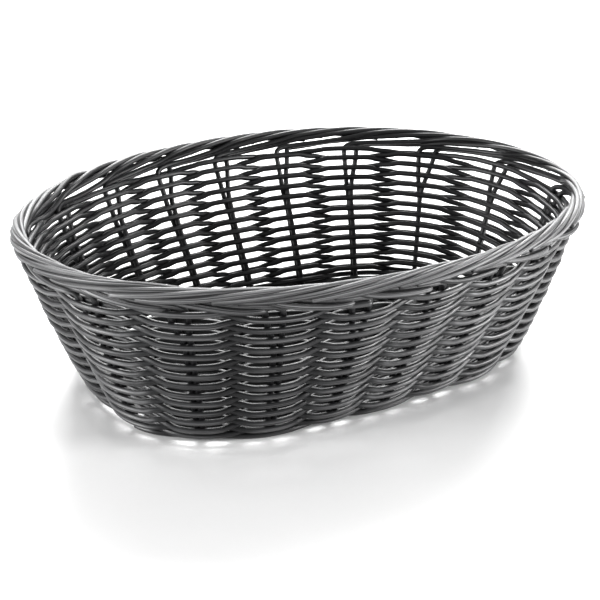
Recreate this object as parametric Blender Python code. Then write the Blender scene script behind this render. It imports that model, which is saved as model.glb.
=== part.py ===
"""Oval bread basket, woven from black polypropylene cord.

Nineteen doubled stakes stand round the wall.  Most of them are one pair of cords
that runs up one side, across the base and up the other side.  One weaver fills the
base and one fills the wall, each in plain weave: outside one pair, inside the next.
The ends of the stakes are laid along the top as a rope, which is the border.
The cords are drawn as square bars that lie inside the round cord's outline.
"""
import math

import bpy
import numpy as np

MM = 0.001

# Count and place of the stakes, in stations round the wall.  The pairs stand a little further
# apart round the +X end, and lean a little there.
STATIONS = 19
FIRST_STATION = 0.45
BUNCH = (0.17, 0.12)
LEAN = 0.12
CROSS_PAIRS = 7
ODD_STATION = 9

# Cord section.  The tilt sets two faces of the square bar level.
CORD_SIDE = 1.6
BAR_TILT = math.radians(45.0)
PAIR_HALF_GAP = 1.2

# Ovals: half length, half width, power of the superellipse.
MAT_OVAL = (42.5, 13.5, 2.6)
BASE_EDGE = (75.5, 46.5, 2.8)
FOOT_INNER = (79.0, 50.0, 2.85)
FOOT_OUTER = (82.5, 53.5, 2.9)
CORNER_OVAL = (84.0, 55.0, 2.9)
WALL_FOOT = (84.0, 55.0, 2.9)
RIM_OVAL = (110.4, 77.0, 2.06)
TANGENT_STEP = 0.002
LONG_SIDE_SHARE = 0.25

# Heights of the bars' middles.  The two bends of a foot thin the bar a little, so the foot
# stands at slightly less than half the bar's side.
MAT_Z = 5.4
BASE_EDGE_Z = 4.0
FOOT_Z = 0.76
CORNER_Z = 2.6
WALL_FOOT_Z = 2.6
RIM_Z = 63.5

# Plain weave.
WALL_REACH = (3.04, 2.9)
BASE_REACH = (3.7, 2.9)
ROW_PITCH = 2.15
ROW_LIFT = 0.65
BASE_LIFT = 0.4
BASE_FIRST_LEVEL = 0.12
BASE_LAST_LEVEL = 0.94
WALL_FIRST_LEVEL = 0.02
WALL_LAST_LEVEL = 0.893

# Middle of the base, where the long cords lie on the cross cords.
MAT_HALF_STEP = 1.0
MAT_CROSS_Y = 8.5
MAT_LONG_X = 32.5
MAT_LONG_Y = 5.4
ODD_TURN_X = 35.5

# Rope border: turn of a strand about the rope's axis from one station to the next.
ROPE_RADIUS = 3.0
ROPE_TWIST = math.radians(100.0)
ROPE_HALF_PHASE = math.radians(25.0)
STRAND_STEP = 0.4
LEAD_END = 3.3
TRAIL_END = 3.15
LEAD_DROP = 2.3
LEAD_CLIMB = 0.9
LEAD_LEAN = 3.0
TRAIL_LEAN = 1.6

PLASTIC_COLOUR = (0.012, 0.012, 0.013, 1.0)
PLASTIC_ROUGHNESS = 0.36


def clear_scene():
    for item in list(bpy.data.objects):
        bpy.data.objects.remove(item, do_unlink=True)


def oval_table(oval, samples=1440):
    """Points round a superellipse with the share of its length at each of them."""
    half_length, half_width, power = oval
    turn = np.linspace(0.0, 2.0 * math.pi, samples + 1)
    cosine = np.cos(turn)
    sine = np.sin(turn)
    x = half_length * np.sign(cosine) * np.abs(cosine) ** (2.0 / power)
    y = half_width * np.sign(sine) * np.abs(sine) ** (2.0 / power)
    steps = np.hypot(np.diff(x), np.diff(y))
    share = np.concatenate([[0.0], np.cumsum(steps)])
    return share / share[-1], x, y


TABLES = {}


def on_oval(oval, share, height):
    """Point on an oval at a share of its length, counted from +X towards +Y."""
    if oval not in TABLES:
        TABLES[oval] = oval_table(oval)
    shares, x, y = TABLES[oval]
    where = share % 1.0
    return np.array([np.interp(where, shares, x), np.interp(where, shares, y), height])


def oval_length(oval):
    _, x, y = oval_table(oval)
    return float(np.hypot(np.diff(x), np.diff(y)).sum())


def unit(vector):
    return vector / np.linalg.norm(vector)


def along_oval(oval, share):
    ahead = on_oval(oval, share + TANGENT_STEP, 0.0)
    behind = on_oval(oval, share - TANGENT_STEP, 0.0)
    return unit(ahead - behind)


def station_share(station, level):
    """Share of the oval's length at a station, for a level from the foot, 0, to the rim, 1."""
    turn = 2.0 * math.pi * station / STATIONS
    bunched = BUNCH[0] * math.sin(turn) + BUNCH[1] * math.sin(2.0 * turn)
    leaning = LEAN * (1.0 + math.cos(turn)) * (level - 0.5)
    return (station + FIRST_STATION + bunched + leaning) / STATIONS


def wall_frame(share, level):
    """Point on the wall's middle surface, with its outward and upward directions."""
    low = on_oval(WALL_FOOT, share, WALL_FOOT_Z)
    high = on_oval(RIM_OVAL, share, RIM_Z)
    along = unit(along_oval(WALL_FOOT, share) * (1.0 - level) + along_oval(RIM_OVAL, share) * level)
    upward = unit(high - low)
    outward = unit(np.cross(along, upward))
    return low + (high - low) * level, outward, upward, along


def base_frame(share, level):
    """Point on the base's middle surface, with its normal and its spoke direction."""
    inner = on_oval(MAT_OVAL, share, MAT_Z)
    edge = on_oval(BASE_EDGE, share, BASE_EDGE_Z)
    along = unit(along_oval(MAT_OVAL, share) * (1.0 - level) + along_oval(BASE_EDGE, share) * level)
    spoke = unit(edge - inner)
    normal = unit(np.cross(spoke, along))
    return inner + (edge - inner) * level, normal, spoke, along


def weave(frame, crossings, first_level, last_level, reach, lift):
    """One weaver: a point on either side of the surface at each station in turn."""
    points = []
    for crossing in range(crossings):
        level = first_level + (last_level - first_level) * crossing / (crossings - 1)
        share = station_share(crossing, level if frame is wall_frame else 0.0)
        middle, normal, across, _ = frame(share, level)
        side = 1.0 if crossing % 2 else -1.0
        near, far = reach
        height = near + (far - near) * level
        points.append(middle + side * (height * normal - lift * across))
    return points


def smooth_step(value):
    clipped = min(max(value, 0.0), 1.0)
    return clipped * clipped * (3.0 - 2.0 * clipped)


def rope_point(station, distance, hand):
    """Point on a border strand, a distance in stations past its own stake.

    hand is 1 for the cord that leads the pair and -1 for the one that trails it.
    """
    share = station_share(station - distance, 1.0)
    middle, outward, upward, _ = wall_frame(share, 1.0)
    phase = ROPE_TWIST * distance - hand * ROPE_HALF_PHASE
    drop = 0.0
    if hand > 0:
        drop = LEAD_DROP * (1.0 - smooth_step(distance / LEAD_CLIMB))
    inward_part = ROPE_RADIUS * math.sin(phase)
    upward_part = -ROPE_RADIUS * math.cos(phase) - drop
    return middle - inward_part * outward + upward_part * upward


def border_leg(station, hand):
    """The end of a stake cord, laid along the rim."""
    lean = LEAD_LEAN if hand > 0 else -TRAIL_LEAN
    start = lean * STATIONS / oval_length(RIM_OVAL)
    end = LEAD_END if hand > 0 else TRAIL_END
    count = round((end - start) / STRAND_STEP)
    return [rope_point(station, start + (end - start) * i / count, hand) for i in range(count + 1)]


def sideways(share, oval, hand):
    """Offset of one cord of a pair; the leading cord lies on the clockwise side."""
    return -hand * PAIR_HALF_GAP * along_oval(oval, share)


def stake_leg(station, hand):
    """One end of a stake cord, from the middle of the base out, up and along the rim."""
    share = station_share(station, 0.0)
    points = []
    for oval, height in ((MAT_OVAL, MAT_Z), (BASE_EDGE, BASE_EDGE_Z), (FOOT_INNER, FOOT_Z),
                         (FOOT_OUTER, FOOT_Z), (CORNER_OVAL, CORNER_Z)):
        points.append(on_oval(oval, share, height) + sideways(share, oval, hand))
    for level in (WALL_FIRST_LEVEL, WALL_LAST_LEVEL):
        middle, _, _, along = wall_frame(station_share(station, level), level)
        points.append(middle - hand * PAIR_HALF_GAP * along)
    return points + border_leg(station, hand)


def cross_stake(station, hand):
    """A cord from one long side to the other, under the long cords."""
    far_station = STATIONS - 1 - station
    near = stake_leg(station, hand)
    far = stake_leg(far_station, -hand)
    middle = []
    for leg, end_y in ((near, MAT_CROSS_Y), (far, -MAT_CROSS_Y)):
        middle.append(np.array([leg[0][0], end_y, MAT_Z - MAT_HALF_STEP]))
    return near[::-1] + middle + far


def long_stake(station, hand):
    """A cord from one short end to the other, over the cross cords."""
    far_station = CROSS_PAIRS + 1 if station == 0 else CROSS_PAIRS + 3
    near = stake_leg(station, hand)
    far = stake_leg(far_station, -hand)
    row = MAT_LONG_Y if station == 0 else -MAT_LONG_Y
    offset = row - hand * PAIR_HALF_GAP
    middle = [np.array([x, offset, MAT_Z + MAT_HALF_STEP]) for x in (MAT_LONG_X, -MAT_LONG_X)]
    return near[::-1] + middle + far


def odd_stake():
    """The nineteenth pair: one cord that turns back at the far end of the base."""
    top = MAT_Z + MAT_HALF_STEP
    turn = []
    for x, y in ((-MAT_LONG_X, 1.0), (ODD_TURN_X, 1.0), (ODD_TURN_X, -1.0), (-MAT_LONG_X, -1.0)):
        turn.append(np.array([x, y * PAIR_HALF_GAP, top]))
    return stake_leg(ODD_STATION, -1)[::-1] + turn[::-1] + stake_leg(ODD_STATION, 1)


def plastic(name):
    material = bpy.data.materials.new(name)
    material.use_nodes = True
    shader = material.node_tree.nodes["Principled BSDF"]
    shader.inputs["Base Color"].default_value = PLASTIC_COLOUR
    shader.inputs["Roughness"].default_value = PLASTIC_ROUGHNESS
    shader.inputs["Metallic"].default_value = 0.0
    return material


def cord(name, points, collection):
    """A square bar along the points, with two of its faces level."""
    curve = bpy.data.curves.new(name, "CURVE")
    curve.dimensions = "3D"
    curve.twist_mode = "Z_UP"
    curve.bevel_depth = CORD_SIDE / math.sqrt(2.0) * MM
    curve.bevel_resolution = 0
    curve.use_fill_caps = True
    spline = curve.splines.new("POLY")
    spline.points.add(len(points) - 1)
    for target, point in zip(spline.points, points):
        target.co = (*(point * MM), 1.0)
        target.tilt = BAR_TILT
    curve.materials.append(plastic(name + "_plastic"))
    item = bpy.data.objects.new(name, curve)
    collection.objects.link(item)
    return item


def side_weaver(collection):
    low = wall_frame(LONG_SIDE_SHARE, WALL_FIRST_LEVEL)[0]
    high = wall_frame(LONG_SIDE_SHARE, WALL_LAST_LEVEL)[0]
    rows = np.linalg.norm(high - low) / ROW_PITCH
    crossings = round(rows * STATIONS)
    points = weave(wall_frame, crossings, WALL_FIRST_LEVEL, WALL_LAST_LEVEL, WALL_REACH, ROW_LIFT)
    return cord("side_weaver", points, collection)


def base_weaver(collection):
    rows = (BASE_EDGE[0] - MAT_OVAL[0]) / ROW_PITCH
    crossings = round(rows * STATIONS)
    points = weave(base_frame, crossings, BASE_FIRST_LEVEL, BASE_LAST_LEVEL, BASE_REACH, BASE_LIFT)
    return cord("base_weaver", points, collection)


def build():
    clear_scene()
    collection = bpy.data.collections.new("bread_basket")
    bpy.context.scene.collection.children.link(collection)
    for pair in range(1, CROSS_PAIRS + 1):
        for letter, hand in (("a", 1), ("b", -1)):
            cord(f"cross_stake_{pair}{letter}", cross_stake(pair, hand), collection)
    for pair, station in ((1, 0), (2, STATIONS - 1)):
        for letter, hand in (("a", 1), ("b", -1)):
            cord(f"long_stake_{pair}{letter}", long_stake(station, hand), collection)
    cord("odd_stake", odd_stake(), collection)
    base_weaver(collection)
    side_weaver(collection)


build()
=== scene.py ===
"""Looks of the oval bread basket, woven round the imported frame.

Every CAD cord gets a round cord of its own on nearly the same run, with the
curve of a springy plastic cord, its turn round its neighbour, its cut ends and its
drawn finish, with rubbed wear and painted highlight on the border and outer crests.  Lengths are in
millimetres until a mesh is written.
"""
import math

import bpy
import numpy as np
from mathutils import Matrix, Vector


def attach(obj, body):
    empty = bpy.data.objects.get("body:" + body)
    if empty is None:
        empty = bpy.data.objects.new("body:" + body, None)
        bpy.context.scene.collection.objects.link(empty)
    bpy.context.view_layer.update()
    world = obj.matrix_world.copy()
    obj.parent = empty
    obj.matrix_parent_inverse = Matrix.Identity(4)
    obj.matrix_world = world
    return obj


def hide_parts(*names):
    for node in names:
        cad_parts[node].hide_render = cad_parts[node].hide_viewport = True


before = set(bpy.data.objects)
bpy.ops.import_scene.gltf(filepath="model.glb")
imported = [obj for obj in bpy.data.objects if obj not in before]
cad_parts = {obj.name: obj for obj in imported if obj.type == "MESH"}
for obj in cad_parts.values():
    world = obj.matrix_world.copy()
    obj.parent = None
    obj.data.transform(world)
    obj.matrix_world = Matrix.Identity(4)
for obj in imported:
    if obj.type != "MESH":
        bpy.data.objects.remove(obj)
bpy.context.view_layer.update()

MM = 0.001

# Stations of the stake pairs round the wall, as in the CAD, counted from +X towards +Y.
STATIONS = 19
FIRST_STATION = 0.45
BUNCH = (0.17, 0.12)
LEAN = 0.12
CROSS_PAIRS = 7
ODD_STATION = 9

# Ovals: half length, half width, power of the superellipse.  OVAL_SAMPLES points measure each.
MAT_OVAL = (42.5, 13.5, 2.6)
BASE_EDGE = (77.2, 45.8, 2.8)
FOOT_INNER = (80.6, 48.8, 2.85)
FOOT_OUTER = (83.6, 50.6, 2.9)
CORNER_OVAL = (85.0, 51.6, 2.95)
WALL_FOOT = (85.4, 52.0, 2.95)
RIM_OVAL = (110.4, 77.2, 2.06)
OVAL_SAMPLES = 5760
TANGENT_STEP = 0.002

# Heights of the ovals.
MAT_Z = 5.4
BASE_EDGE_Z = 4.0
FOOT_Z = 1.08
CORNER_Z = 2.0
WALL_FOOT_Z = 1.5
RIM_Z = 63.1

# Woven by hand, the basket isn't even.  The foot is turned against the rim, in radians, and
# the rim is shifted along X.  A sag or bow is (share of the way round, spread, depth).
FOOT_TURN = -0.036
RIM_SHIFT = -0.3
RIM_SAGS = ((0.97, 0.20, (0.0, -2.2, -0.4)), (0.38, 0.25, (0.0, 0.0, -1.7)))
END_BOWS = ((0.52, 0.22, 1.2), (0.95, 0.12, 1.6))
BOW_POWER = 0.8

# Cords.  A path is drawn in steps of PATH_STEP, softened over BEND_SPREAD and ringed.
CORD_RADIUS = 1.05
WEAVER_RADIUS = 1.10
FLOOR_GAP = 0.03
TUBE_SIDES = 12
PATH_STEP = 0.4
RING_STEP = 1.2
BEND_SPREAD = 1.1
# Cut ends: rings as (push along the cord, part of the radius), both in radii.
CUT_END = ((-0.02, 0.45), (0.0, 0.86), (0.14, 1.0))

# Stake pairs.  Low on the wall a pair stands one behind the other on the far side, and it
# parts near the top.
PAIR_SPACING = 1.02
PAIR_TURN_LEVELS = (0.52, 0.77)
SPLAY_LEVEL = 0.92
FOOT_HALF_GAP = 1.0
LEG_LEVELS = (0.035, 0.908)
LEG_SWAY = 0.16
STATION_LENGTH = 30.4
LEAD_TURN_ROOM = 1.5
TRAIL_FIRST_DISTANCE = 0.06

# Mat: the long cords and the odd stake go over one cross pair and under the next.
LONG_X = 36.0
LONG_ROW = 5.4
MAT_RISE = 2.15
MAT_HALF_GAP = 1.04

# Weave.  Levels go from 0 at the foot, or the mat, to 1 at the rim, or the base's edge.
ROW_PITCH = 2.25
WALL_STEPS_PER_STATION = 24
BASE_STEPS_PER_STATION = 16
BASE_FIRST_LEVEL = 0.03
BASE_LAST_LEVEL = 0.985
WALL_START = -9
WALL_FIRST_LEVEL = -0.014
WALL_LAST_LEVEL = 0.912
CROSSING_SHARPNESS = 0.9
CROSSING_WIDTH = 0.5
WALL_REACH = 0.85
FOOT_REACH_LOSS = 0.75
FOOT_LEVELS = 0.09
REACH_WANDER = (11.0, 0.10)
LIFT_WANDER = (17.0, 0.16)
BASE_REACH = (2.4, 2.1)
BASE_LIFT = 0.35
FOOT_LIFT = -0.10
WALL_LIFT = 0.44
FAR_LIFT = 0.14
FAR_STATION = 3.5

# Border.  A strand leaves its stake outside and low, rises under the rope to the next stake,
# goes in behind it, comes up over the rope and goes down its outside.
# First part: stations past its own stake, outward and upward from the rope's middle.
LEAD_COURSE = ((0.0, 0.2, -5.0), (0.25, 1.7, -4.7), (0.65, 1.9, -3.9), (1.0, 0.8, -3.1))
TRAIL_COURSE = ((0.0, 0.0, -4.7), (0.25, 0.4, -4.0), (0.65, -0.2, -3.3), (1.0, -1.2, -2.0))
# Then: degrees round the rope, from its underside towards the inside.
ROPE_RADIUS = 1.95
ROPE_START = 1.3
ROPE_START_PHASE = 61.0
ROPE_TWIST = 110.0
ROPE_HALF_PHASE = 29.0
ROPE_END = 4.2
ROPE_STEP = 0.2
LEAD_END = 3.7
TRAIL_END = 3.45
# The strands that hang below the rope's middle stand out where the border is slack.
SLACK_STATION = 18.2
SLACK_SPREAD = 0.25
SLACK_REACH = 2.6
LOOSE_DEPTH = 0.70
LOOSE_STATION = 6.4
LOOSE_SPREAD = 2.4
LOOSE_HANG = 2.6
LOOSE_TUCK = 1.1
LOOSE_WOBBLE = 0.4
STRAND_WOBBLE = 0.08

# Looks of the plastic.  The border's top and outer faces and the outer crests of the wall are painted a
# lighter grey, partly as rubbed wear and partly as painted highlight; the spots on the table get rubbed
# wear.  CORD_PHASE moves each cord to its own stretch of the noise.
CORD_PHASE = 0.731
BUMP_STRENGTH = 0.7
BUMP_DISTANCE = 0.00020
RIM_WEAR_AND_SHEEN_DEPTH = 6.5
CREST_WEAR_AND_SHEEN = 0.52
FOOT_WEAR = 0.4
# Lighter grey for the border's top and outer faces and the wall's outer crests: partly rubbed wear,
# partly painted highlight.
SCUFF_AND_SHEEN_GREY = (0.28, 0.28, 0.284)
CORD_BLACK = (0.013, 0.013, 0.014)

# Studio: lights as (name, place, target, size, power), in metres and watts.
LIGHTS = (
    ("high_back", (0.56, 0.76, 0.84), (0.0, 0.0, 0.03), (1.2, 0.8), 38.0),
    ("low_back", (0.9, 1.3, 0.55), (0.0, 0.0, 0.03), (2.4, 0.7), 16.0),
    ("side", (0.98, -0.76, 0.24), (0.0, 0.0, 0.04), (0.45, 0.35), 22.0),
    ("left", (-1.0, 0.1, 0.26), (0.0, 0.0, 0.04), (0.4, 0.35), 13.0),
)
ROOM_LIGHT = 0.57
PICTURE_GAMMA = 0.85
FLOOR_HALF = 4.0
FLOOR_WHITE = (0.82, 0.82, 0.82)
FLOOR_ROUGHNESS = 0.55

# Camera: turn, dip and tilt in radians, distance and target in metres, lens in millimetres.
CAMERA_YAW = -0.5848
CAMERA_PITCH = 0.4322
CAMERA_ROLL = 0.0333
CAMERA_DISTANCE = 0.4442
CAMERA_TARGET = (-0.0092, -0.0080, 0.0271)
CAMERA_LENS = 70.38
CAMERA_SENSOR = 36.0


# ---------------------------------------------------------------- numbers

def oval_table(oval):
    """Shares of the oval's length with the x and y that they belong to."""
    half_length, half_width, power = oval
    turn = np.linspace(0.0, 2.0 * math.pi, OVAL_SAMPLES + 1)
    cosine, sine = np.cos(turn), np.sin(turn)
    x = half_length * np.sign(cosine) * np.abs(cosine) ** (2.0 / power)
    y = half_width * np.sign(sine) * np.abs(sine) ** (2.0 / power)
    share = np.concatenate([[0.0], np.cumsum(np.hypot(np.diff(x), np.diff(y)))])
    return share / share[-1], x, y


TABLES = {}


def on_oval(oval, share, height):
    """Points on an oval at shares of its length, counted from +X towards +Y."""
    if oval not in TABLES:
        TABLES[oval] = oval_table(oval)
    shares, x, y = TABLES[oval]
    where = np.mod(share, 1.0)
    turn = 0.0 if oval in (RIM_OVAL, MAT_OVAL) else FOOT_TURN
    px, py = np.interp(where, shares, x), np.interp(where, shares, y)
    return np.stack([px * math.cos(turn) - py * math.sin(turn),
                     px * math.sin(turn) + py * math.cos(turn),
                     np.broadcast_to(height, px.shape)], axis=-1)


def unit(vectors):
    return vectors / np.linalg.norm(vectors, axis=-1, keepdims=True)


def along_oval(oval, share):
    return unit(on_oval(oval, share + TANGENT_STEP, 0.0) - on_oval(oval, share - TANGENT_STEP, 0.0))


def station_share(station, level):
    """Share of the oval's length at a station, for a level from the foot, 0, to the rim, 1."""
    turn = 2.0 * math.pi * station / STATIONS
    bunched = BUNCH[0] * np.sin(turn) + BUNCH[1] * np.sin(2.0 * turn)
    leaning = LEAN * (1.0 + np.cos(turn)) * (level - 0.5)
    return (station + FIRST_STATION + bunched + leaning) / STATIONS


def near_share(share, middle, width):
    """One at a place round the oval, fading to nothing further round."""
    return np.exp(-(1.0 - np.cos(2.0 * math.pi * (share - middle))) / width)


def wall_frame(share, level):
    """Points on the wall's middle surface with outward, upward and along directions."""
    lift = np.asarray(level)[..., None]
    low = on_oval(WALL_FOOT, share, WALL_FOOT_Z)
    high = on_oval(RIM_OVAL, share, RIM_Z) + [RIM_SHIFT, 0.0, 0.0]
    for middle, width, sag in RIM_SAGS:
        high = high + near_share(share, middle, width)[..., None] * sag
    along = unit(along_oval(WALL_FOOT, share) * (1.0 - lift) + along_oval(RIM_OVAL, share) * lift)
    upward = unit(high - low)
    outward = unit(np.cross(along, upward))
    bow = sum(depth * near_share(share, middle, width) for middle, width, depth in END_BOWS)
    bow = bow * np.sin(math.pi * np.clip(level, 0.0, 1.0) ** BOW_POWER)
    return low + (high - low) * lift + bow[..., None] * outward, outward, upward, along


def base_frame(share, level):
    lift = np.asarray(level)[..., None]
    inner = on_oval(MAT_OVAL, share, MAT_Z)
    edge = on_oval(BASE_EDGE, share, BASE_EDGE_Z)
    along = unit(along_oval(MAT_OVAL, share) * (1.0 - lift) + along_oval(BASE_EDGE, share) * lift)
    spoke = unit(edge - inner)
    normal = unit(np.cross(spoke, along))
    return inner + (edge - inner) * lift, normal, spoke, along


def smooth_step(value):
    clipped = np.clip(value, 0.0, 1.0)
    return clipped * clipped * (3.0 - 2.0 * clipped)


def smoothed(points, spread):
    """Gaussian smoothing of evenly spaced rows; the two ends stay where they are."""
    reach = int(math.ceil(3.0 * spread))
    weights = np.exp(-0.5 * (np.arange(-reach, reach + 1) / spread) ** 2)
    weights /= weights.sum()
    before = 2.0 * points[0] - points[1:reach + 1][::-1]
    after = 2.0 * points[-1] - points[-reach - 1:-1][::-1]
    padded = np.concatenate([before, points, after])
    columns = [np.convolve(padded[:, i], weights, mode="valid") for i in range(points.shape[1])]
    return np.stack(columns, axis=1)


def evenly(points, step):
    """The same path with rows an even step apart."""
    length = np.concatenate([[0.0], np.cumsum(np.linalg.norm(np.diff(points, axis=0), axis=1))])
    count = max(2, int(round(length[-1] / step)) + 1)
    where = np.linspace(0.0, length[-1], count)
    return np.stack([np.interp(where, length, points[:, i]) for i in range(points.shape[1])], axis=1)


def through(points, where):
    """A smooth curve through rows of (place, value, value), read at places in order."""
    table = np.array(points)
    place, values = table[:, 0], table[:, 1:]
    slopes = np.gradient(values, place, axis=0)
    index = np.clip(np.searchsorted(place, where, side="right") - 1, 0, len(place) - 2)
    span = (place[index + 1] - place[index])[:, None]
    t = (where - place[index])[:, None] / span
    return (values[index] * (2.0 * t ** 3 - 3.0 * t ** 2 + 1.0)
            + values[index + 1] * (3.0 * t ** 2 - 2.0 * t ** 3)
            + slopes[index] * span * (t ** 3 - 2.0 * t ** 2 + t)
            + slopes[index + 1] * span * (t ** 3 - t ** 2))


def drift(seed, count, spacing, spread):
    """A smooth random track: count numbers of that spread, changing over that many steps."""
    rng = np.random.default_rng(seed)
    knots = rng.standard_normal(int(count / spacing) + 4)
    where = np.arange(count) / spacing
    first = np.floor(where).astype(int)
    part = smooth_step(where - first)
    return spread * (knots[first] * (1.0 - part) + knots[first + 1] * part)


# ---------------------------------------------------------------- stakes

# For each station: how far a pair parts, the level where it starts to, and how far it is turned.
rng = np.random.default_rng(19)
STATION_TURN = 2.0 * math.pi * np.arange(STATIONS) / STATIONS
FARNESS = np.clip(np.cos(STATION_TURN - 1.15) + 0.35, 0.0, 1.0)
SPLAY = 3.0 + 2.2 * rng.random(STATIONS)
SPLAY_FROM = 0.60 + 0.10 * rng.random(STATIONS)
PAIR_TURN = np.radians(78.0 * FARNESS + 10.0 * rng.random(STATIONS))
LOOSE = LOOSE_DEPTH * np.exp(-((np.arange(STATIONS) - LOOSE_STATION) / LOOSE_SPREAD) ** 2)


def slack_end(station):
    """The border hangs a little further out round the +X end."""
    turn = 2.0 * math.pi * (station - SLACK_STATION) / STATIONS
    return np.exp(-((1.0 - np.cos(turn)) / SLACK_SPREAD))


def pair_turn(station, level):
    """How far a pair has turned from side by side, high on the wall, to one behind the other."""
    index = np.asarray(station) % STATIONS
    first, last = PAIR_TURN_LEVELS
    return PAIR_TURN[index] * (1.0 - smooth_step((np.asarray(level) - first) / (last - first)))


def pair_offset(station, hand, level, along, outward):
    """From the middle of a pair to one of its cords, with the parting near the top."""
    index = station % STATIONS
    turn = pair_turn(index, level)[..., None]
    side = -hand * CORD_RADIUS * PAIR_SPACING
    spread = 0.0
    if hand > 0:
        parting = (level - SPLAY_FROM[index]) / (SPLAY_LEVEL - SPLAY_FROM[index])
        spread = SPLAY[index] * smooth_step(parting)[..., None]
    return side * (np.cos(turn) * along + np.sin(turn) * outward) - spread * along


def rope_course(hand):
    """The whole course of a border strand as rows of (distance, outward, upward)."""
    rows = list(LEAD_COURSE if hand > 0 else TRAIL_COURSE)
    distance = ROPE_START
    while distance < ROPE_END:
        phase = ROPE_START_PHASE + ROPE_TWIST * (distance - ROPE_START) - hand * ROPE_HALF_PHASE
        turn = math.radians(phase)
        rows.append((distance, -ROPE_RADIUS * math.sin(turn), -ROPE_RADIUS * math.cos(turn)))
        distance += ROPE_STEP
    return rows


def rope_point(station, distance, hand):
    """Points on a border strand, at distances in stations past its own stake."""
    share = station_share(station - distance, 1.0)
    middle, outward, upward, _ = wall_frame(share, np.ones_like(share))
    offset = through(rope_course(hand), distance)
    wobble = drift(200 + 2 * station + (hand > 0), len(distance), 30.0, 1.0)
    away = smooth_step(distance / 0.8)
    loose = np.interp((station - distance) % STATIONS, np.arange(STATIONS + 1),
                      np.append(LOOSE, LOOSE[0]))
    offset = offset * (1.0 + away * STRAND_WOBBLE * wobble)[:, None]
    offset[:, 1] *= 1.0 + away * loose / ROPE_RADIUS * (1.0 + LOOSE_WOBBLE * wobble)
    hanging = smooth_step(0.4 - offset[:, 1] / 3.0)
    offset[:, 0] += away * loose * (LOOSE_HANG * hanging - LOOSE_TUCK)
    offset[:, 0] += SLACK_REACH * slack_end(station - distance) * hanging
    return middle + offset[:, 0:1] * outward + offset[:, 1:2] * upward


def stake_leg(station, hand):
    """One end of a stake cord, from the middle of the base out, up and along the rim."""
    share = station_share(station, 0.0)
    parts = []
    level = np.linspace(0.0, 1.0, 40)
    middle, _, _, along = base_frame(np.full_like(level, share), level)
    parts.append(middle - hand * FOOT_HALF_GAP * along)
    for oval, height in ((FOOT_INNER, FOOT_Z), (FOOT_OUTER, FOOT_Z), (CORNER_OVAL, CORNER_Z)):
        point = on_oval(oval, np.array([share]), height)
        parts.append(point - hand * FOOT_HALF_GAP * along_oval(oval, np.array([share])))
    level = np.linspace(*LEG_LEVELS, 60)
    middle, outward, _, along = wall_frame(station_share(station, level), level)
    sway = drift(300 + 2 * station + (hand > 0), len(level), 20.0, LEG_SWAY) * np.sin(math.pi * level)
    parts.append(middle + pair_offset(station, hand, level, along, outward) + sway[:, None] * along)
    start, end = TRAIL_FIRST_DISTANCE, TRAIL_END
    if hand > 0:
        start = (1.0 + SPLAY[station % STATIONS] + LEAD_TURN_ROOM) / STATION_LENGTH
        end = LEAD_END
    parts.append(rope_point(station, np.linspace(start, end, 150), hand))
    return evenly(np.concatenate(parts), PATH_STEP)


def ends_on_mat(station):
    return on_oval(MAT_OVAL, np.array([station_share(station, 0.0)]), MAT_Z)[0]


def crossing_side(x, crossings, signs):
    """A smooth plus or minus one from one crossing to the next, fading out beyond the last."""
    step = np.abs(np.diff(crossings)).mean()
    knots = np.concatenate([[crossings[0] - step], crossings, [crossings[-1] + step]])
    values = np.concatenate([[0.0], signs, [0.0]])
    index = np.clip(np.searchsorted(knots, x) - 1, 0, len(knots) - 2)
    part = smooth_step((x - knots[index]) / (knots[index + 1] - knots[index]))
    return values[index] * (1.0 - part) + values[index + 1] * part


def mat_crossings(row):
    """Where a row of long cords meets the cross pairs, from low X to high X."""
    places = []
    for station in range(CROSS_PAIRS, 0, -1):
        near = ends_on_mat(station)
        far = ends_on_mat(STATIONS - 1 - station)
        part = (row - far[1]) / (near[1] - far[1])
        places.append(far[0] + (near[0] - far[0]) * part)
    return np.array(places)


def long_run(row, offset, first_sign, x_from, x_to):
    """A long cord across the mat, over one cross pair and under the next."""
    x = np.linspace(x_from, x_to, 160)
    crossings = mat_crossings(row)
    signs = first_sign * (-1.0) ** np.arange(len(crossings))
    z = MAT_Z + MAT_RISE * crossing_side(x, crossings, signs)
    return np.stack([x, np.full_like(x, row + offset), z], axis=1)


def joined(parts):
    """Runs laid end to end, softened where they meet, with a row for each ring."""
    path = evenly(np.concatenate(parts), PATH_STEP)
    return evenly(smoothed(path, BEND_SPREAD / PATH_STEP), RING_STEP)


def cross_stake(station, hand):
    """A cord across the base, up one long side and up the other."""
    near = stake_leg(station, hand)
    far = stake_leg(STATIONS - 1 - station, -hand)
    return joined([near[::-1], far])


def long_stake(station, hand):
    """A cord along the base from the +X end to the -X end."""
    far_station = CROSS_PAIRS + 1 if station == 0 else CROSS_PAIRS + 3
    row = LONG_ROW if station == 0 else -LONG_ROW
    near = stake_leg(station, hand)
    far = stake_leg(far_station, -hand)
    run = long_run(row, -hand * MAT_HALF_GAP, 1.0, -LONG_X, LONG_X)[::-1]
    return joined([near[::-1], run, far])


def odd_stake():
    """One cord from the -X end along the base, doubled back on itself.

    Its two halves swap sides, through one another, where the mat meets the run to the -X end.
    """
    there = long_run(0.0, MAT_HALF_GAP, -1.0, -LONG_X, LONG_X + 1.0)
    back = long_run(0.0, -MAT_HALF_GAP, -1.0, -LONG_X, LONG_X + 1.0)[::-1]
    return joined([stake_leg(ODD_STATION, -1)[::-1], there, back, stake_leg(ODD_STATION, 1)])


# ---------------------------------------------------------------- weavers

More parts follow.
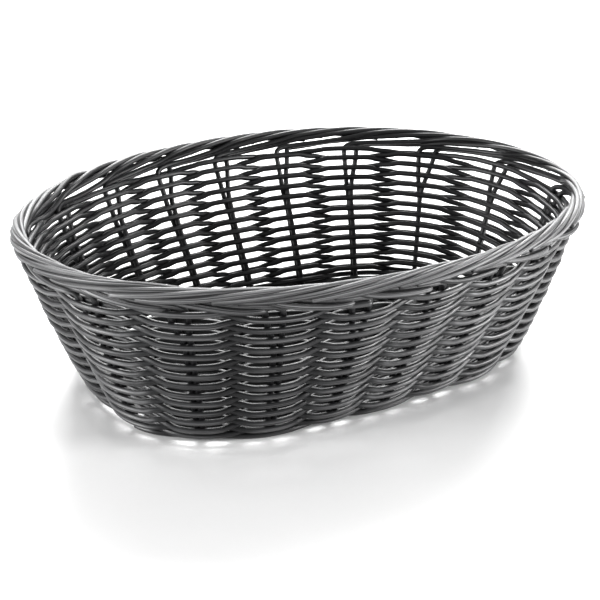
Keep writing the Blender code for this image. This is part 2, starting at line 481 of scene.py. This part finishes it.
def weave_path(frame_at, start, crossings, first_level, last_level, reach_of, lift_of, seed, per_station):
    """One weaver as a path: outside one pair, inside the next, climbing a row each time round."""
    count = (crossings - 1) * per_station + 1
    c = start + np.arange(count) / per_station
    level = first_level + (last_level - first_level) * (c - start) / (crossings - 1)
    share = station_share(c, level if frame_at is wall_frame else 0.0)
    middle, normal, across, _ = frame_at(share, level)
    side = -np.tanh(CROSSING_SHARPNESS * np.cos(math.pi * c)) / math.tanh(CROSSING_SHARPNESS)
    reach = reach_of(c, level)
    # Rows lie one on the next where they cross, and pair up once they are well apart.
    apart = np.clip(1.0 - (side / CROSSING_WIDTH) ** 6, 0.0, 1.0)
    paired = np.sign(side) * np.clip(1.0 - 2.0 * CORD_RADIUS * np.sqrt(apart) / ROW_PITCH, 0.0, 1.0)
    height = side * reach + drift(seed, count, *REACH_WANDER)
    raised = -paired * lift_of(c, level) + drift(seed + 1, count, *LIFT_WANDER)
    path = smoothed(middle + height[:, None] * normal + raised[:, None] * across, 1.0)
    path[:, 2] = np.maximum(path[:, 2], WEAVER_RADIUS + FLOOR_GAP)
    return path


def wall_reach(c, level):
    """How far the weaver stands off a pair: more where the pair is turned, less at the foot.

    It is less than would clear the cords, so the weaver presses into them, most at the foot.
    """
    first = np.floor(c).astype(int)
    part = smooth_step(c - first)
    here = 1.0 + np.abs(np.sin(pair_turn(first, level)))
    there = 1.0 + np.abs(np.sin(pair_turn(first + 1, level)))
    low = 1.0 - smooth_step((level - WALL_FIRST_LEVEL) / FOOT_LEVELS)
    return WALL_REACH - FOOT_REACH_LOSS * low + CORD_RADIUS * (here * (1.0 - part) + there * part)


def wall_lift(c, level):
    """Rows pair up at the stakes, an inside row level with the outside row over it."""
    far = 0.5 + 0.5 * np.cos(2.0 * math.pi * (c - FAR_STATION) / STATIONS)
    low = smooth_step((level - WALL_FIRST_LEVEL - 0.03) / 0.08)
    high = smooth_step((WALL_LAST_LEVEL - level) / 0.06)
    return ROW_PITCH * (FOOT_LIFT + (WALL_LIFT + FAR_LIFT * far) * low) * (0.3 + 0.7 * high)


def base_reach(c, level):
    """How far the weaver stands off the spokes, a little less towards the base's edge."""
    return BASE_REACH[0] + (BASE_REACH[1] - BASE_REACH[0]) * level


def base_lift(c, level):
    """Rows of the base pair up a little, the same everywhere."""
    return BASE_LIFT * ROW_PITCH * np.ones_like(level)


def side_weaver():
    """The wall's one cord, from the foot to below the border."""
    low = wall_frame(np.array([0.25]), np.array([WALL_FIRST_LEVEL]))[0][0]
    high = wall_frame(np.array([0.25]), np.array([WALL_LAST_LEVEL]))[0][0]
    crossings = round(np.linalg.norm(high - low) / ROW_PITCH * STATIONS)
    return weave_path(wall_frame, WALL_START, crossings, WALL_FIRST_LEVEL, WALL_LAST_LEVEL,
                      wall_reach, wall_lift, 5, WALL_STEPS_PER_STATION)


def base_weaver():
    """The base's one cord, from the mat out to the edge."""
    rows = (BASE_EDGE[0] - MAT_OVAL[0]) / ROW_PITCH
    crossings = round(rows * STATIONS)
    return weave_path(base_frame, 0, crossings, BASE_FIRST_LEVEL, BASE_LAST_LEVEL,
                      base_reach, base_lift, 8, BASE_STEPS_PER_STATION)


# ---------------------------------------------------------------- meshes

def carried_frames(path):
    """A tangent and two steady side directions at each row of a path."""
    tangents = unit(np.gradient(path, axis=0))
    side = np.cross(tangents[0], [0.0, 0.0, 1.0])
    if np.linalg.norm(side) < 0.1:
        side = np.cross(tangents[0], [1.0, 0.0, 0.0])
    sides = np.empty_like(path)
    for i, tangent in enumerate(tangents):
        side = side - tangent * side.dot(tangent)
        side = side / math.sqrt(side.dot(side))
        sides[i] = side
    return tangents, sides, np.cross(tangents, sides)


def wear_and_sheen(spots, normals):
    """How much lighter grey each spot is painted: the border's top and outer faces and the wall's outer
    crests, as rubbed wear and painted highlight, and what stands on the table, as rubbed wear.
    """
    spots = spots / MM
    part = np.clip((spots[:, 2] - WALL_FOOT_Z) / (RIM_Z - WALL_FOOT_Z), 0.0, 1.0)
    half_length = WALL_FOOT[0] + (RIM_OVAL[0] - WALL_FOOT[0]) * part
    half_width = WALL_FOOT[1] + (RIM_OVAL[1] - WALL_FOOT[1]) * part
    power = WALL_FOOT[2] + (RIM_OVAL[2] - WALL_FOOT[2]) * part
    x, y = spots[:, 0] - RIM_SHIFT * part, spots[:, 1]
    ratio = (np.abs(x / half_length) ** power + np.abs(y / half_width) ** power) ** (1.0 / power)
    beyond = (ratio - 1.0) * np.hypot(x, y)
    away = unit(np.stack([x / half_length ** 2, y / half_width ** 2, 0.0 * x], axis=1) + 1e-12)
    outward = np.sum(normals * away, axis=1)
    rim = smooth_step((spots[:, 2] - RIM_Z + RIM_WEAR_AND_SHEEN_DEPTH) / 4.0)
    # Painted highlight, partly rubbed wear: the border's upward and outward faces are made lighter grey.
    border = rim * np.clip(0.75 * outward + 0.65 * normals[:, 2], 0.0, 1.0)
    # Painted highlight, partly rubbed wear: the wall's outer crests are made lighter grey.
    crest = (1.0 - rim) * np.clip(outward, 0.0, 1.0) ** 2 * smooth_step((beyond - 0.6) / 1.6)
    foot = smooth_step((2.4 - spots[:, 2]) / 1.6) * np.clip(-normals[:, 2], 0.0, 1.0)
    return np.clip(border + CREST_WEAR_AND_SHEEN * crest + FOOT_WEAR * foot, 0.0, 1.0)


def cord_mesh(name, path, thickness, offset):
    """A round cord with cut, slightly rounded ends, and its own length and angle stored on it."""
    path = path * MM
    radius = thickness * MM
    tangents, sides, ups = carried_frames(path)
    spots, radii, row_s, row_u = [], [], [], []

    def ring(i, push, scale):
        spots.append(path[i] + tangents[i] * push * radius)
        radii.append(radius * scale)
        row_s.append(sides[i])
        row_u.append(ups[i])

    for push, scale in CUT_END:
        ring(0, push, scale)
    for i in range(1, len(path) - 1):
        ring(i, 0.0, 1.0)
    last = len(path) - 1
    for push, scale in CUT_END[::-1]:
        ring(last, -push, scale)
    spots, radii = np.array(spots), np.array(radii)
    row_s, row_u = np.array(row_s), np.array(row_u)
    rows = len(spots)
    angle = np.arange(TUBE_SIDES) * 2.0 * math.pi / TUBE_SIDES
    circle = (np.cos(angle)[None, :, None] * row_s[:, None, :]
              + np.sin(angle)[None, :, None] * row_u[:, None, :])
    vertices = (spots[:, None, :] + radii[:, None, None] * circle).reshape(-1, 3)
    row = np.arange(rows - 1)[:, None] * TUBE_SIDES
    here = np.arange(TUBE_SIDES)[None, :]
    after = (here + 1) % TUBE_SIDES
    quads = np.stack([row + here, row + after, row + after + TUBE_SIDES,
                      row + here + TUBE_SIDES], axis=-1).reshape(-1, 4)
    faces = quads.tolist()
    faces.append(list(range(TUBE_SIDES))[::-1])
    faces.append([(rows - 1) * TUBE_SIDES + i for i in range(TUBE_SIDES)])
    mesh = bpy.data.meshes.new(name)
    mesh.from_pydata(vertices.tolist(), [], faces)
    mesh.shade_smooth()
    length = np.concatenate([[0.0], np.cumsum(np.linalg.norm(np.diff(spots, axis=0), axis=1))])
    cord = np.empty((rows, TUBE_SIDES, 3))
    cord[:, :, 0] = (length + offset)[:, None]
    cord[:, :, 1] = np.cos(angle)[None, :]
    cord[:, :, 2] = np.sin(angle)[None, :]
    attribute = mesh.attributes.new("cord", "FLOAT_VECTOR", "POINT")
    attribute.data.foreach_set("vector", cord.reshape(-1).astype(np.float32))
    # Painted highlight and rubbed wear: how much lighter grey each spot is made.
    wear_sheen = mesh.attributes.new("wear_sheen", "FLOAT", "POINT")
    wear_sheen.data.foreach_set("value", wear_and_sheen(vertices, circle.reshape(-1, 3)).astype(np.float32))
    mesh.update()
    return mesh


def add_cord(name, path, thickness, material, index):
    mesh = cord_mesh(name + "_cord", path, thickness, index * CORD_PHASE)
    mesh.materials.append(material)
    item = bpy.data.objects.new(name + "_cord", mesh)
    bpy.context.scene.collection.objects.link(item)
    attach(item, "root")
    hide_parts(name)
    return item


# ---------------------------------------------------------------- material

def node(tree, kind, **settings):
    item = tree.nodes.new(kind)
    for key, value in settings.items():
        setattr(item, key, value)
    return item


def fitted(tree, source, old_range, new_range):
    """A node output moved from one range of values to another."""
    item = node(tree, "ShaderNodeMapRange")
    for socket, value in zip(("From Min", "From Max", "To Min", "To Max"), (*old_range, *new_range)):
        item.inputs[socket].default_value = value
    tree.links.new(source, item.inputs["Value"])
    return item.outputs["Result"]


def cord_plastic(name, tint, roughness):
    """Satin black polypropylene: drawn along its length, so its finish is streaked."""
    material = bpy.data.materials.new(name)
    material.use_nodes = True
    tree = material.node_tree
    link = tree.links.new
    shader = tree.nodes["Principled BSDF"]
    place = node(tree, "ShaderNodeAttribute", attribute_name="cord", attribute_type="GEOMETRY")

    def stretched(along, round_it, detail):
        """Noise on the cord's own length and angle, drawn out along it."""
        mapping = node(tree, "ShaderNodeMapping")
        mapping.inputs["Scale"].default_value = (along, round_it, round_it)
        link(place.outputs["Vector"], mapping.inputs["Vector"])
        noise = node(tree, "ShaderNodeTexNoise")
        noise.inputs["Scale"].default_value = 1.0
        noise.inputs["Detail"].default_value = detail
        link(mapping.outputs["Vector"], noise.inputs["Vector"])
        return noise.outputs["Fac"]

    streaks = stretched(12.0, 4.2, 3.0)
    patches = stretched(60.0, 0.6, 2.0)
    colour = node(tree, "ShaderNodeValToRGB")
    colour.color_ramp.elements[0].position = 0.35
    colour.color_ramp.elements[0].color = (*[c * 0.4 for c in tint], 1.0)
    colour.color_ramp.elements[1].position = 0.72
    colour.color_ramp.elements[1].color = (*[c * 2.2 for c in tint], 1.0)
    link(streaks, colour.inputs["Fac"])
    # Painted highlight, partly rubbed wear: patchy lighter grey on the border's top and outer faces and
    # the wall's outer crests, from the stored attribute.
    wear_sheen_input = node(tree, "ShaderNodeAttribute", attribute_name="wear_sheen", attribute_type="GEOMETRY")
    patchy = fitted(tree, stretched(14.0, 3.6, 4.0), (0.42, 0.64), (0.05, 1.0))
    wear_sheen_amount = node(tree, "ShaderNodeMath", operation="MULTIPLY", use_clamp=True)
    link(wear_sheen_input.outputs["Fac"], wear_sheen_amount.inputs[0])
    link(patchy, wear_sheen_amount.inputs[1])
    tinted = node(tree, "ShaderNodeMix", data_type="RGBA")
    tinted.inputs["B"].default_value = (*SCUFF_AND_SHEEN_GREY, 1.0)
    link(wear_sheen_amount.outputs["Value"], tinted.inputs["Factor"])
    link(colour.outputs["Color"], tinted.inputs["A"])
    link(tinted.outputs["Result"], shader.inputs["Base Color"])
    rough = fitted(tree, patches, (0.3, 0.7), (roughness - 0.06, roughness + 0.08))
    link(rough, shader.inputs["Roughness"])
    bump = node(tree, "ShaderNodeBump")
    bump.inputs["Strength"].default_value = BUMP_STRENGTH
    bump.inputs["Distance"].default_value = BUMP_DISTANCE
    link(streaks, bump.inputs["Height"])
    link(bump.outputs["Normal"], shader.inputs["Normal"])
    shader.inputs["IOR"].default_value = 1.5
    return material


def stakes():
    """Every stake cord, lettered a and b in each pair."""
    plastic = cord_plastic("stake_plastic", CORD_BLACK, 0.42)
    hands = (("a", 1), ("b", -1))
    index = 0
    for pair in range(1, CROSS_PAIRS + 1):
        for letter, hand in hands:
            index += 1
            path = cross_stake(pair, hand)
            add_cord(f"cross_stake_{pair}{letter}", path, CORD_RADIUS, plastic, index)
    for pair, station in ((1, 0), (2, STATIONS - 1)):
        for letter, hand in hands:
            index += 1
            path = long_stake(station, hand)
            add_cord(f"long_stake_{pair}{letter}", path, CORD_RADIUS, plastic, index)
    add_cord("odd_stake", odd_stake(), CORD_RADIUS, plastic, 20)


def weavers():
    plastic = cord_plastic("weaver_plastic", CORD_BLACK, 0.38)
    add_cord("base_weaver", base_weaver(), WEAVER_RADIUS, plastic, 21)
    add_cord("side_weaver", side_weaver(), WEAVER_RADIUS, plastic, 22)


# ---------------------------------------------------------------- floor, light, camera

def plain_floor():
    mesh = bpy.data.meshes.new("floor")
    corners = [(FLOOR_HALF * x, FLOOR_HALF * y, 0.0) for x, y in ((-1, -1), (1, -1), (1, 1), (-1, 1))]
    mesh.from_pydata(corners, [], [(0, 1, 2, 3)])
    floor = bpy.data.objects.new("floor", mesh)
    bpy.context.scene.collection.objects.link(floor)
    material = bpy.data.materials.new("floor_white")
    material.use_nodes = True
    shader = material.node_tree.nodes["Principled BSDF"]
    shader.inputs["Base Color"].default_value = (*FLOOR_WHITE, 1.0)
    shader.inputs["Roughness"].default_value = FLOOR_ROUGHNESS
    mesh.materials.append(material)


def area_light(name, place, target, size, power):
    data = bpy.data.lights.new(name, "AREA")
    data.shape = "RECTANGLE"
    data.size, data.size_y = size
    data.energy = power
    lamp = bpy.data.objects.new(name, data)
    lamp.location = place
    direction = Vector(target) - Vector(place)
    lamp.rotation_euler = direction.to_track_quat("-Z", "Y").to_euler()
    bpy.context.scene.collection.objects.link(lamp)


def studio():
    world = bpy.data.worlds.new("studio")
    bpy.context.scene.world = world
    world.use_nodes = True
    background = world.node_tree.nodes["Background"]
    background.inputs["Color"].default_value = (1.0, 1.0, 1.0, 1.0)
    background.inputs["Strength"].default_value = ROOM_LIGHT
    for light in LIGHTS:
        area_light(*light)
    bpy.context.scene.view_settings.view_transform = "Standard"
    bpy.context.scene.view_settings.gamma = PICTURE_GAMMA


def camera():
    """Seen from the long side that faces -Y, turned towards the -X end, from above the rim."""
    yaw, pitch, roll = CAMERA_YAW, CAMERA_PITCH, CAMERA_ROLL
    back = Vector((math.sin(yaw) * math.cos(pitch), -math.cos(yaw) * math.cos(pitch), math.sin(pitch)))
    right = Vector((math.cos(yaw), math.sin(yaw), 0.0))
    up = back.cross(right)
    turned_right = right * math.cos(roll) + up * math.sin(roll)
    turned_up = up * math.cos(roll) - right * math.sin(roll)
    data = bpy.data.cameras.new("camera")
    data.sensor_width = CAMERA_SENSOR
    data.lens = CAMERA_LENS
    data.clip_start = 0.01
    data.clip_end = 20.0
    item = bpy.data.objects.new("camera", data)
    rotation = Matrix((turned_right, turned_up, back)).transposed()
    place = Vector(CAMERA_TARGET) + back * CAMERA_DISTANCE
    item.matrix_world = Matrix.Translation(place) @ rotation.to_4x4()
    bpy.context.scene.collection.objects.link(item)
    bpy.context.scene.camera = item


stakes()
weavers()
plain_floor()
studio()
camera()
